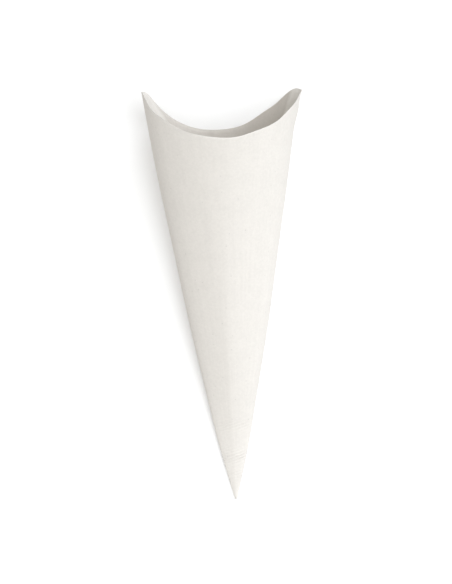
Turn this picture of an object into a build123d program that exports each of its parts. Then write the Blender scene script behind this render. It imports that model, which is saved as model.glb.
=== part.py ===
from build123d import *
from math import atan2, cos, radians, sin, tan
import os

# Paper cone bag, popped open and lying on its glued back seam.
# The tip points to -Y, the mouth to +Y, and the surface it lies on is z = 0.
# All sizes are in millimetres; "along" is the distance from the tip along Y.

# Paper, and the half width of the glued lap as a share of the bag's half width
paper = 0.3
lap_share = 0.14

# Width and height of the opened bag at a distance along it
tip_half_width = 0.7
tip_height = 1.2
spread = 0.2406
width_fall_off = 0.0001955
rise = 0.2302
opening_up = 0.000468

# Roundness of the section: a share of 0.55 makes a quarter ellipse, less a ridge.
# Both plies lean inward where they leave the folded creases at the sides.
roundness = 0.55
crease_lean = radians(6.0)
tip_ridge = 0.24
mouth_ridge = 0.52
ridge_offset = -0.06

# Right side, which flares outward toward its horn
flare_start = 240.0
flare_reach = 51.0
flare_out = 1.8

# Distances along the bag where its cross-section is drawn
pocket_start = 6.0
shell_stations = [40.0, 110.0, 180.0, 240.0, 270.0, 297.0]

# Die-cut mouth, drawn in the plane through both side creases
roll = radians(5.0)
crease_station = 270.0
left_horn = (-53.9, 294.5)
right_horn = (55.6, 294.5)
front_lip = [
    (-51.0, 287.4),
    (-44.0, 279.2),
    (-30.0, 270.1),
    (-12.0, 265.4),
    (6.0, 264.6),
    (22.0, 268.7),
    (36.0, 274.1),
    (46.0, 281.7),
    (52.5, 288.6),
]
back_lip = [
    (-51.0, 293.6),
    (-44.0, 285.7),
    (-30.0, 272.2),
    (-12.0, 264.2),
    (6.0, 263.2),
    (22.0, 267.1),
    (36.0, 276.4),
    (46.0, 284.8),
    (52.5, 290.8),
]
cutter_side = 80.0
cutter_top = 340.0
cutter_depth = 130.0

# Centring of the finished bag on the origin
tip_y = -145.7
axis_x = -1.0


def half_width(along):
    return tip_half_width + spread * along - width_fall_off * along**2


def flare(along):
    return flare_out * (max(along - flare_start, 0.0) / flare_reach) ** 2


def height(along):
    return tip_height + rise * along + opening_up * along**2


def ridge(along):
    return tip_ridge + (mouth_ridge - tip_ridge) * (along / crease_station) ** 2


def section_plane(along):
    return Plane(
        origin=(axis_x, tip_y + along, height(along) / 2),
        x_dir=(1, 0, 0),
        z_dir=(0, -1, 0),
    )


def draw_section(along, inset):
    # Starts and ends at the left crease. The flat lap has one step a paper high,
    # at its right edge on the outside and at its left edge on the inside.
    left = inset - half_width(along)
    right = half_width(along) + flare(along) - inset
    top = height(along) / 2 - inset
    under_left = -top
    under_right = paper - top
    lap = lap_share * half_width(along)
    lap_step = (-lap, under_right) if inset > 0 else (lap, under_left)
    lap_turn = roundness * (-left - lap)
    peak = ridge_offset * half_width(along)
    sharp = ridge(along)
    left_crease = -left * tan(roll)
    right_crease = -right * tan(roll)
    lean = roundness * top * tan(crease_lean)
    Bezier(
        (left, left_crease),
        (left + lean, left_crease + roundness * (under_left - left_crease)),
        (-lap - lap_turn, under_left),
        (-lap, under_left),
    )
    Polyline((-lap, under_left), lap_step, (lap, under_right))
    Bezier(
        (lap, under_right),
        (lap + lap_turn, under_right),
        (right - lean, right_crease + roundness * (under_right - right_crease)),
        (right, right_crease),
    )
    Bezier(
        (right, right_crease),
        (right - lean, right_crease + roundness * (top - right_crease)),
        (peak + sharp * (right - peak), top),
        (peak, top),
    )
    Bezier(
        (peak, top),
        (peak + sharp * (left - peak), top),
        (left + lean, left_crease + roundness * (top - left_crease)),
        (left, left_crease),
    )


crease_rise = atan2(height(crease_station) / 2 - tip_height / 2, crease_station)
crease_plane = Plane(
    origin=(axis_x, tip_y, tip_height / 2),
    x_dir=(cos(roll), sin(roll) * sin(crease_rise), -sin(roll) * cos(crease_rise)),
    z_dir=(sin(roll), -cos(roll) * sin(crease_rise), cos(roll) * cos(crease_rise)),
)

with BuildPart() as cone_bag:
    # Outside of the paper
    for along in [0.0] + shell_stations:
        with BuildSketch(section_plane(along)):
            with BuildLine():
                draw_section(along, 0.0)
            make_face()
    loft()

    # Inside of the paper, which leaves the very tip solid
    for along in [pocket_start] + shell_stations:
        with BuildSketch(section_plane(along)):
            with BuildLine():
                draw_section(along, paper)
            make_face()
    loft(mode=Mode.SUBTRACT)

    # Front and back halves of the die-cut mouth
    for lip, depth in [(front_lip, cutter_depth), (back_lip, -cutter_depth)]:
        with BuildSketch(crease_plane):
            with BuildLine():
                Spline(left_horn, *lip, right_horn)
                Polyline(
                    right_horn,
                    (cutter_side, right_horn[1]),
                    (cutter_side, cutter_top),
                    (-cutter_side, cutter_top),
                    (-cutter_side, left_horn[1]),
                    left_horn,
                )
            make_face()
        extrude(amount=depth, mode=Mode.SUBTRACT)

cone_bag.part.label = "cone_bag"

os.makedirs("parts", exist_ok=True)
export_step(cone_bag.part, "parts/cone_bag.step")
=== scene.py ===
import math
import bmesh
import bpy
import numpy as np
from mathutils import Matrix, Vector


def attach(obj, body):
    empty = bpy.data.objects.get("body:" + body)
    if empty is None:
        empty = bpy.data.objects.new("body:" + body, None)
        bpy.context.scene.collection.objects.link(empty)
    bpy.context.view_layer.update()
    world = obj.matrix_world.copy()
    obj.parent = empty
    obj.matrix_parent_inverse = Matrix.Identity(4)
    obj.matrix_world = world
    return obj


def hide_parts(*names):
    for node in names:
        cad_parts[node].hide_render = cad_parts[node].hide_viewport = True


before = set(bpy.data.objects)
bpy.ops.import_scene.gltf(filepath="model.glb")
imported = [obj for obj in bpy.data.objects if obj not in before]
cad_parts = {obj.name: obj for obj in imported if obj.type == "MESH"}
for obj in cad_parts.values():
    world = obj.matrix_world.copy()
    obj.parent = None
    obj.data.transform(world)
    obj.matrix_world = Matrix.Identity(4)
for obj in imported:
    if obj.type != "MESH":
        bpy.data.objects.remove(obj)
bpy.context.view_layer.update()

# Paper cone bag, lying on its glued seam: tip at -Y, mouth at +Y, floor at z = 0.
# "Along" is the distance from the tip. Lengths are millimetres, unless a comment says
# otherwise, and the meshes are written in metres.
MM = 1000

# Paper, taper, section and crease plane, as in the solid
PAPER = 0.3
LAP_SHARE = 0.14
TIP_HALF_WIDTH = 0.7
TIP_HEIGHT = 1.2
SPREAD = 0.2406
WIDTH_FALL_OFF = 0.0001955
RISE = 0.2302
OPENING_UP = 0.000468
ROUNDNESS = 0.55
CREASE_LEAN = math.radians(6.0)
TIP_RIDGE = 0.24
MOUTH_RIDGE = 0.52
RIDGE_OFFSET = -0.06
FLARE_START = 240.0
FLARE_REACH = 51.0
FLARE_OUT = 1.8
POCKET_START = 6.0
ROLL = math.radians(5.0)
CREASE_STATION = 270.0
TIP_Y = -145.7
AXIS_X = -1.0

# Die-cut mouth from horn to horn, with both lips a little lower toward the right horn
# than in the solid, and the back lip standing higher beside it
LIP_ACROSS = [-53.9, -51.0, -44.0, -30.0, -12.0, 6.0, 22.0, 36.0, 46.0, 52.5, 55.6]
FRONT_LIP = [294.5, 287.4, 279.2, 270.1, 265.1, 264.0, 267.8, 272.8, 280.1, 286.6, 292.1]
BACK_LIP = [294.5, 293.6, 285.7, 272.1, 264.0, 262.8, 266.4, 275.5, 284.5, 292.4, 292.1]

# Softer forms of this one bag: the tip is pressed flatter and a little wider, and the
# sides are slightly hollow halfway up
PRESS_SHARE, PRESS_REACH, PRESS_POWER = 0.56, 68.0, 2.5
TIP_WIDEN, TIP_WIDEN_AT, TIP_WIDEN_REACH = 0.75, 38.0, 30.0
HOLLOW, HOLLOW_AT, HOLLOW_REACH = 0.65, 180.0, 42.0

# The right horn's end curls outward, and past a slanting line the paper bends down
CURL_START, CURL_REACH, CURL_MOST = 282.0, 11.0, 1.2
CURL_OUT, CURL_BACK = 3.0, 1.2
BEND_AT = (41.9, 269.4)
BEND_ACROSS = (0.937, -0.352)
BEND_DROP, BEND_OUT, BEND_HOLD = 0.9, 0.2, 6
BEND_FADE, BEND_FADE_REACH = 262.0, 14.0

# Mesh: steps round the section in this order, and rows along the two faces of the paper
RIGHT_TOP, LEFT_TOP, LEFT_UNDER, LAP, STEP, RIGHT_UNDER = range(6)
STEPS = [78, 78, 56, 12, 1, 56]
PART = np.concatenate([np.full(count, part) for part, count in enumerate(STEPS)])
SHARE = np.concatenate([np.arange(count) / count for count in STEPS])
AROUND = len(PART)
ROWS_OUTSIDE = 200
ROWS_INSIDE = 90


def half_width(along):
    width = TIP_HALF_WIDTH + SPREAD * along - WIDTH_FALL_OFF * along**2
    widened = TIP_WIDEN * np.exp(-(((along - TIP_WIDEN_AT) / TIP_WIDEN_REACH) ** 2))
    hollowed = HOLLOW * np.exp(-(((along - HOLLOW_AT) / HOLLOW_REACH) ** 2))
    return width + widened - hollowed


def flare(along):
    return FLARE_OUT * (np.maximum(along - FLARE_START, 0.0) / FLARE_REACH) ** 2


def solid_height(along):
    return TIP_HEIGHT + RISE * along + OPENING_UP * along**2


def height(along):
    pressed = PRESS_SHARE * np.exp(-((along / PRESS_REACH) ** PRESS_POWER))
    return solid_height(along) - pressed * (solid_height(along) - TIP_HEIGHT)


def ridge(along):
    return TIP_RIDGE + (MOUTH_RIDGE - TIP_RIDGE) * (along / CREASE_STATION) ** 2


def bezier(t, start, lead, trail, end):
    swing = 3 * (1 - t) ** 2 * t * lead + 3 * (1 - t) * t**2 * trail
    return (1 - t) ** 3 * start + swing + t**3 * end


def spline(across, levels, places):
    """Natural cubic spline through the levels, read at the places."""
    across = np.asarray(across, float)
    levels = np.asarray(levels, float)
    count = len(across)
    widths = np.diff(across)
    slopes = np.diff(levels) / widths
    system = np.eye(count)
    wanted = np.zeros(count)
    for i in range(1, count - 1):
        system[i, i - 1] = widths[i - 1]
        system[i, i] = 2 * (widths[i - 1] + widths[i])
        system[i, i + 1] = widths[i]
        wanted[i] = 6 * (slopes[i] - slopes[i - 1])
    bends = np.linalg.solve(system, wanted)
    places = np.clip(places, across[0], across[-1])
    i = np.clip(np.searchsorted(across, places) - 1, 0, count - 2)
    past = places - across[i]
    slope = slopes[i] - widths[i] * (2 * bends[i] + bends[i + 1]) / 6
    turn = bends[i] / 2 + past * (bends[i + 1] - bends[i]) / (6 * widths[i])
    return levels[i] + past * (slope + past * turn)


def section(along, inset):
    """Points round the paper, one per step, each at its own distance along."""
    half = half_width(along)
    left = inset - half
    right = half + flare(along) - inset
    top = height(along) / 2 - inset
    under = -top
    under_right = PAPER - top
    lap = LAP_SHARE * half
    lap_turn = ROUNDNESS * (-left - lap)
    peak = RIDGE_OFFSET * half
    sharp = ridge(along)
    left_crease = -left * math.tan(ROLL)
    right_crease = -right * math.tan(ROLL)
    lean = ROUNDNESS * top * math.tan(CREASE_LEAN)
    left_in = left + lean
    right_in = right - lean
    left_up = left_crease + ROUNDNESS * (top - left_crease)
    left_down = left_crease + ROUNDNESS * (under - left_crease)
    right_up = right_crease + ROUNDNESS * (top - right_crease)
    right_down = right_crease + ROUNDNESS * (under_right - right_crease)
    # the step stands at the lap's right edge outside and at its left edge inside
    lap_level = under if inset == 0 else under_right
    parts = [PART == part for part in range(RIGHT_UNDER)]
    x = np.select(
        parts,
        [
            bezier(SHARE, right, right_in, peak + sharp * (right - peak), peak),
            bezier(SHARE, peak, peak + sharp * (left - peak), left_in, left),
            bezier(SHARE, left, left_in, -lap - lap_turn, -lap),
            -lap + 2 * lap * SHARE,
            lap,
        ],
        bezier(SHARE, lap, lap + lap_turn, right_in, right),
    )
    z = np.select(
        parts,
        [
            bezier(SHARE, right_crease, right_up, top, top),
            bezier(SHARE, top, top, left_up, left_crease),
            bezier(SHARE, left_crease, left_down, under, under),
            lap_level + 0 * SHARE,
            lap_level + 0 * SHARE,
        ],
        bezier(SHARE, under_right, under_right, right_down, right_crease),
    )
    return x, height(along) / 2 + z


# Axes of the plane through both side creases, in which the mouth is cut
CREASE_RISE = math.atan2((solid_height(CREASE_STATION) - TIP_HEIGHT) / 2, CREASE_STATION)
SIDEWAYS = np.array([1.0, 0, 0])
UPRIGHT = np.array([0, -math.sin(CREASE_RISE), math.cos(CREASE_RISE)])
CUT_ALONG = np.array([0, math.cos(CREASE_RISE), math.sin(CREASE_RISE)])
CUT_ACROSS = math.cos(ROLL) * SIDEWAYS - math.sin(ROLL) * UPRIGHT
CUT_NORMAL = math.sin(ROLL) * SIDEWAYS + math.cos(ROLL) * UPRIGHT


def lip_distance(inset):
    """Distance along the bag at which the paper is cut off, for each step round it."""
    shortest = np.full(AROUND, 200.0)
    longest = np.full(AROUND, 300.0)
    for _ in range(40):
        along = (shortest + longest) / 2
        x, z = section(along, inset)
        point = np.stack([x, along, z - TIP_HEIGHT / 2], axis=-1)
        across = point @ CUT_ACROSS
        front = spline(LIP_ACROSS, FRONT_LIP, across)
        back = spline(LIP_ACROSS, BACK_LIP, across)
        cut = np.where(point @ CUT_NORMAL >= 0, front, back)
        kept = point @ CUT_ALONG < cut
        shortest = np.where(kept, along, shortest)
        longest = np.where(kept, longest, along)
    return shortest


def shape_right_horn(x, along, z):
    """Bends the paper down past the slanting line and curls the horn's end outward."""
    curled = np.clip((along - CURL_START) / CURL_REACH, 0.0, CURL_MOST) ** 2 * (x > 0)
    past = (x - BEND_AT[0]) * BEND_ACROSS[0] + (along - BEND_AT[1]) * BEND_ACROSS[1]
    upper_hold = np.where(PART == RIGHT_TOP, (1 - SHARE) ** BEND_HOLD, 0.0)
    hold = np.where(PART == RIGHT_UNDER, 1.0, upper_hold)
    fade = np.clip((along - BEND_FADE) / BEND_FADE_REACH, 0.0, 1.0)
    drop = BEND_DROP * np.maximum(past, 0.0) * hold * fade
    return x + CURL_OUT * curled + BEND_OUT * drop, along - CURL_BACK * curled, z - drop


def paper_face(start, inset, rows):
    """Rings of points in metres, from the start to the lip, on one face of the paper."""
    lip = lip_distance(inset)
    rings = []
    for row in range(rows + 1):
        along = start + row / rows * (lip - start)
        x, z = section(along, inset)
        x, y, z = shape_right_horn(x, along, z)
        rings.append(np.stack([x + AXIS_X, y + TIP_Y, z], axis=-1) / MM)
    return rings


def build_bag():
    outside = paper_face(0.0, 0.0, ROWS_OUTSIDE)
    inside = paper_face(POCKET_START, PAPER, ROWS_INSIDE)
    tips = [outside[0].mean(axis=0), inside[0].mean(axis=0)]
    points = np.concatenate(outside + inside + [np.array(tips)])
    rings = [range(i * AROUND, (i + 1) * AROUND) for i in range(len(outside) + len(inside))]
    outside_rings = rings[: len(outside)]
    inside_rings = rings[len(outside) :]
    outside_tip = len(rings) * AROUND
    inside_tip = outside_tip + 1
    neighbours = [(k, (k + 1) % AROUND) for k in range(AROUND)]

    faces = []
    for lower, upper in zip(outside_rings[:-1], outside_rings[1:]):
        faces += [(upper[k], upper[j], lower[j], lower[k]) for k, j in neighbours]
    inside_start = len(faces)
    for lower, upper in zip(inside_rings[:-1], inside_rings[1:]):
        faces += [(lower[k], lower[j], upper[j], upper[k]) for k, j in neighbours]
    inside_end = len(faces)
    edge, inner_edge = outside_rings[-1], inside_rings[-1]
    faces += [(inner_edge[j], inner_edge[k], edge[k], edge[j]) for k, j in neighbours]
    for k, j in neighbours:
        faces.append((outside_rings[0][k], outside_rings[0][j], outside_tip))
        faces.append((inside_rings[0][j], inside_rings[0][k], inside_tip))

    mesh = bpy.data.meshes.new("cone_bag_paper")
    mesh.from_pydata(points.tolist(), [], faces)
    skin = np.zeros(len(faces), dtype=np.int32)
    skin[inside_start:inside_end] = 1
    mesh.polygons.foreach_set("material_index", skin)
    editing = bmesh.new()
    editing.from_mesh(mesh)
    bmesh.ops.recalc_face_normals(editing, faces=editing.faces)
    editing.to_mesh(mesh)
    editing.free()
    mesh.polygons.foreach_set("use_smooth", [True] * len(mesh.polygons))
    bag = bpy.data.objects.new("cone_bag_paper", mesh)
    bpy.context.scene.collection.objects.link(bag)
    return bag


class Shader:
    """A new material and short ways to add nodes to it and join them."""

    def __init__(self, name, roughness):
        self.material = bpy.data.materials.new(name)
        self.material.use_nodes = True
        self.tree = self.material.node_tree
        self.surface = self.tree.nodes["Principled BSDF"]
        self.surface.inputs["Roughness"].default_value = roughness
        self.surface.inputs["Specular IOR Level"].default_value = 0.25

    def link(self, source, socket):
        if isinstance(source, (int, float)):
            socket.default_value = source
        else:
            self.tree.links.new(source, socket)

    def maths(self, operation, first, second=0.0, clamp=False):
        node = self.tree.nodes.new("ShaderNodeMath")
        node.operation = operation
        node.use_clamp = clamp
        self.link(first, node.inputs[0])
        self.link(second, node.inputs[1])
        return node.outputs[0]

    def times(self, first, second):
        return self.maths("MULTIPLY", first, second)

    def plus(self, first, second):
        return self.maths("ADD", first, second)

    def less(self, first, second):
        return self.maths("SUBTRACT", first, second)

    def share(self, value, reach):
        """The value as a share of the reach, held between zero and one."""
        return self.maths("DIVIDE", value, reach, clamp=True)

    def noise(self, vector, scale, detail, rough):
        """Noise centred on zero, about -1 to 1."""
        node = self.tree.nodes.new("ShaderNodeTexNoise")
        node.inputs["Scale"].default_value = scale
        node.inputs["Detail"].default_value = detail
        node.inputs["Roughness"].default_value = rough
        self.link(vector, node.inputs["Vector"])
        return self.times(self.less(node.outputs[0], 0.5), 2.0)

    def hump(self, value, centre, reach):
        """One at the centre, fading to zero within the reach on both sides."""
        gap = self.maths("ABSOLUTE", self.less(value, centre))
        inside = self.maths("SUBTRACT", 1.0, self.maths("DIVIDE", gap, reach), clamp=True)
        return self.times(inside, inside)

    def past_line(self, x, y, at, across):
        """Distance past a line through a point, measured square to it, in metres."""
        sideways = self.times(self.less(x, at[0] / MM), across[0])
        return self.plus(sideways, self.times(self.less(y, at[1] / MM), across[1]))


# Paper surface. Noise sizes are per metre, and tones are shares of the colour.
PAPER_ROUGHNESS = 0.8
FIBRE_SIZE, FIBRE_TONE, FIBRE_RELIEF = 520.0, 0.07, 0.6
CLOUD_SIZE, CLOUD_TONE = 95.0, 0.03
STREAKS_ACROSS, STREAKS_ALONG = 60.0, 9.0
STREAK_TONE, STREAK_RELIEF, STREAK_SPREAD = 0.035, 0.8, 20.0
SPECK_SIZE, SPECK_REACH, SPECK_TONE = 150.0, 0.075, 0.10
RELIEF_DEPTH = 0.04

# Wrinkles pressed across the tip, climbing to the right: centre, reach and strength
WRINKLE_PATCHES = [(30.0, 12.0, 1.0), (53.0, 10.0, 0.6), (18.0, 6.0, 0.6)]
WRINKLE_PITCH, WRINKLE_CLIMB, WRINKLE_WANDER, WRINKLE_RELIEF = 2.2, 0.3, 0.6, 3.6

# Painted light inside the horns: a lit band along the left one's edge, and past the right bend
LEFT_BAND_AT = (-55.1, 145.5)
LEFT_BAND_ACROSS = (0.839, 0.544)
LEFT_BAND_WIDTH, LEFT_BAND_FADE, LEFT_BAND_WITHIN = 3.8, 1.8, -35.0
RIGHT_BAND_AT = (BEND_AT[0] + AXIS_X, BEND_AT[1] + TIP_Y)
RIGHT_BAND_FADE = 2.0
PAINTED_LIGHT_FROM, PAINTED_LIGHT_FADE = 112.0, 18.0


def horn_painted_light(shader, x, y, colour, lit_horn_colour):
    """Colour of the sheet, with painted light by the two horns."""
    left = shader.past_line(x, y, LEFT_BAND_AT, LEFT_BAND_ACROSS)
    left = shader.share(shader.less(LEFT_BAND_WIDTH / MM, left), LEFT_BAND_FADE / MM)
    left = shader.times(left, shader.maths("LESS_THAN", x, LEFT_BAND_WITHIN / MM))
    right = shader.past_line(x, y, RIGHT_BAND_AT, BEND_ACROSS)
    right = shader.share(right, RIGHT_BAND_FADE / MM)
    near_lip = shader.share(shader.less(y, PAINTED_LIGHT_FROM / MM), PAINTED_LIGHT_FADE / MM)
    blend = shader.tree.nodes.new("ShaderNodeMix")
    blend.data_type = "RGBA"
    # painted light: mask of the lit bands by the horns, near the lip
    painted_light_mask = shader.times(shader.maths("MAXIMUM", left, right), near_lip)
    factor, first_colour, second_colour = blend.inputs[0], blend.inputs[6], blend.inputs[7]
    shader.link(painted_light_mask, factor)
    first_colour.default_value = (*colour, 1)
    second_colour.default_value = (*lit_horn_colour, 1)
    mixed_colour = blend.outputs[2]
    return mixed_colour


def paper_material(name, colour, lit_horn_colour):
    """Matt bag paper: fibre mottle, lengthwise streaks, specks and wrinkles at the tip, with
    painted light by the horns where the lit horn colour differs from the colour.
    """
    shader = Shader(name, PAPER_ROUGHNESS)
    place = shader.tree.nodes.new("ShaderNodeTexCoord").outputs["Object"]
    split = shader.tree.nodes.new("ShaderNodeSeparateXYZ")
    shader.link(place, split.inputs[0])
    x, y = split.outputs[0], split.outputs[1]
    along = shader.less(y, TIP_Y / MM)
    across = shader.maths("DIVIDE", x, shader.plus(along, STREAK_SPREAD / MM))

    # streaks fan out from just short of the tip
    fan = shader.tree.nodes.new("ShaderNodeCombineXYZ")
    shader.link(shader.times(across, STREAKS_ACROSS), fan.inputs[0])
    shader.link(shader.times(along, STREAKS_ALONG), fan.inputs[1])
    fibre = shader.noise(place, FIBRE_SIZE, 3.0, 0.65)
    cloud = shader.noise(place, CLOUD_SIZE, 2.0, 0.5)
    streak = shader.noise(fan.outputs[0], 1.0, 3.0, 0.6)
    cells = shader.tree.nodes.new("ShaderNodeTexVoronoi")
    cells.inputs["Scale"].default_value = SPECK_SIZE
    shader.link(place, cells.inputs["Vector"])
    speck = shader.maths("LESS_THAN", cells.outputs["Distance"], SPECK_REACH)
    tone = shader.times(fibre, FIBRE_TONE)
    tone = shader.plus(tone, shader.times(cloud, CLOUD_TONE))
    tone = shader.plus(tone, shader.times(streak, STREAK_TONE))
    tone = shader.less(tone, shader.times(speck, SPECK_TONE))
    tone = shader.plus(tone, 1.0)
    tint = shader.tree.nodes.new("ShaderNodeVectorMath")
    tint.operation = "SCALE"
    # painted light: the colour turns to the lit horn colour in bands by the horns
    shader.link(horn_painted_light(shader, x, y, colour, lit_horn_colour), tint.inputs[0])
    shader.link(tone, tint.inputs["Scale"])
    shader.link(tint.outputs[0], shader.surface.inputs["Base Color"])

    # wrinkles follow lines of equal climb, bent a little by the cloudy noise
    climb = shader.less(along, shader.times(x, WRINKLE_CLIMB))
    climb = shader.plus(climb, shader.times(cloud, WRINKLE_WANDER / MM))
    line = shader.maths("SINE", shader.times(climb, 2 * math.pi / (WRINKLE_PITCH / MM)))
    patches = 0.0
    for centre, reach, strength in WRINKLE_PATCHES:
        patch = shader.hump(along, centre / MM, reach / MM)
        patches = shader.plus(patches, shader.times(patch, strength))
    wrinkle = shader.times(line, patches)
    relief = shader.plus(
        shader.times(fibre, FIBRE_RELIEF), shader.times(wrinkle, WRINKLE_RELIEF)
    )
    relief = shader.plus(relief, shader.times(streak, STREAK_RELIEF))
    bump = shader.tree.nodes.new("ShaderNodeBump")
    bump.inputs["Strength"].default_value = 1.0
    bump.inputs["Distance"].default_value = RELIEF_DEPTH / MM
    shader.link(relief, bump.inputs["Height"])
    shader.link(bump.outputs[0], shader.surface.inputs["Normal"])
    return shader.material


# Floor, which shows a little brighter than it lights; its half width is in metres
FLOOR_HALF = 3.0
FLOOR_ROUGHNESS = 0.9
FLOOR_TONE = 0.86
FLOOR_GLOW = 0.14


def floor_material():
    """White floor that keeps its shadows, with a small glow for rays that show it."""
    shader = Shader("floor_white", FLOOR_ROUGHNESS)
    shader.surface.inputs["Base Color"].default_value = (FLOOR_TONE, FLOOR_TONE, FLOOR_TONE, 1)
    seen = shader.tree.nodes.new("ShaderNodeLightPath").outputs
    shown = shader.maths("MAXIMUM", seen["Is Camera Ray"], seen["Is Glossy Ray"])
    shown = shader.maths("MAXIMUM", shown, seen["Is Transmission Ray"])
    shader.surface.inputs["Emission Color"].default_value = (1, 1, 1, 1)
    shader.link(shader.times(shown, FLOOR_GLOW), shader.surface.inputs["Emission Strength"])
    return shader.material


def build_floor():
    mesh = bpy.data.meshes.new("floor")
    corners = [(-1, -1), (1, -1), (1, 1), (-1, 1)]
    mesh.from_pydata([(x * FLOOR_HALF, y * FLOOR_HALF, 0) for x, y in corners], [], [(0, 1, 2, 3)])
    floor = bpy.data.objects.new("floor", mesh)
    bpy.context.scene.collection.objects.link(floor)
    floor.data.materials.append(floor_material())
    return floor


def soft_light(name, lean, towards, strength, colour):
    """Broad studio light, leaning from straight above towards a compass angle."""
    data = bpy.data.lights.new(name, "SUN")
    data.angle = math.radians(40)
    data.energy = math.pi * strength
    data.color = colour
    light = bpy.data.objects.new(name, data)
    lean = math.radians(lean)
    towards = math.radians(towards)
    sideways = math.sin(lean)
    ray = Vector(
        (sideways * math.cos(towards), sideways * math.sin(towards), math.cos(lean))
    )
    light.rotation_mode = "QUATERNION"
    light.rotation_quaternion = ray.to_track_quat("Z", "Y")
    bpy.context.scene.collection.objects.link(light)


# Bag: the inside skin gets a darker colour than the outside, as painted shade for the interior
OUTSIDE = (0.802, 0.774, 0.735)
SHADED_INSIDE = (0.66, 0.626, 0.582)
bag = build_bag()
bag.data.materials.append(paper_material("white_paper", OUTSIDE, OUTSIDE))
# inside paper: painted light by the horns brings its colour up to the outside's
bag.data.materials.append(paper_material("white_paper_inside_painted_shade", SHADED_INSIDE, OUTSIDE))
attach(bag, "root")
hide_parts("cone_bag")

floor = build_floor()

# Light: a warm surround, and two slightly cool lamps
scene = bpy.context.scene
world = bpy.data.worlds.new("studio")
scene.world = world
world.use_nodes = True
surround = world.node_tree.nodes["Background"]
surround.inputs["Color"].default_value = (1.0, 0.955, 0.87, 1)
surround.inputs["Strength"].default_value = 0.41
soft_light("overhead", 10, -30, 0.64, (0.97, 1.0, 1.04))
soft_light("corner", 73, 37, 0.38, (0.95, 1.0, 1.07))

# Camera, straight above the bag and turned a little; distances are in metres
FLOOR_SHOWN = 0.7228 * 584 / MM
SENSOR = 36.0
DISTANCE = 1.1565
TURN = 0.0401
lens = bpy.data.cameras.new("camera")
lens.sensor_width = SENSOR
lens.lens = SENSOR * DISTANCE / FLOOR_SHOWN
lens.clip_start = 0.05
lens.clip_end = 20
camera = bpy.data.objects.new("camera", lens)
camera.location = (-0.00232, 0.0037, DISTANCE)
camera.rotation_euler = (0, 0, -TURN)
scene.collection.objects.link(camera)
scene.camera = camera
scene.view_settings.view_transform = "Standard"
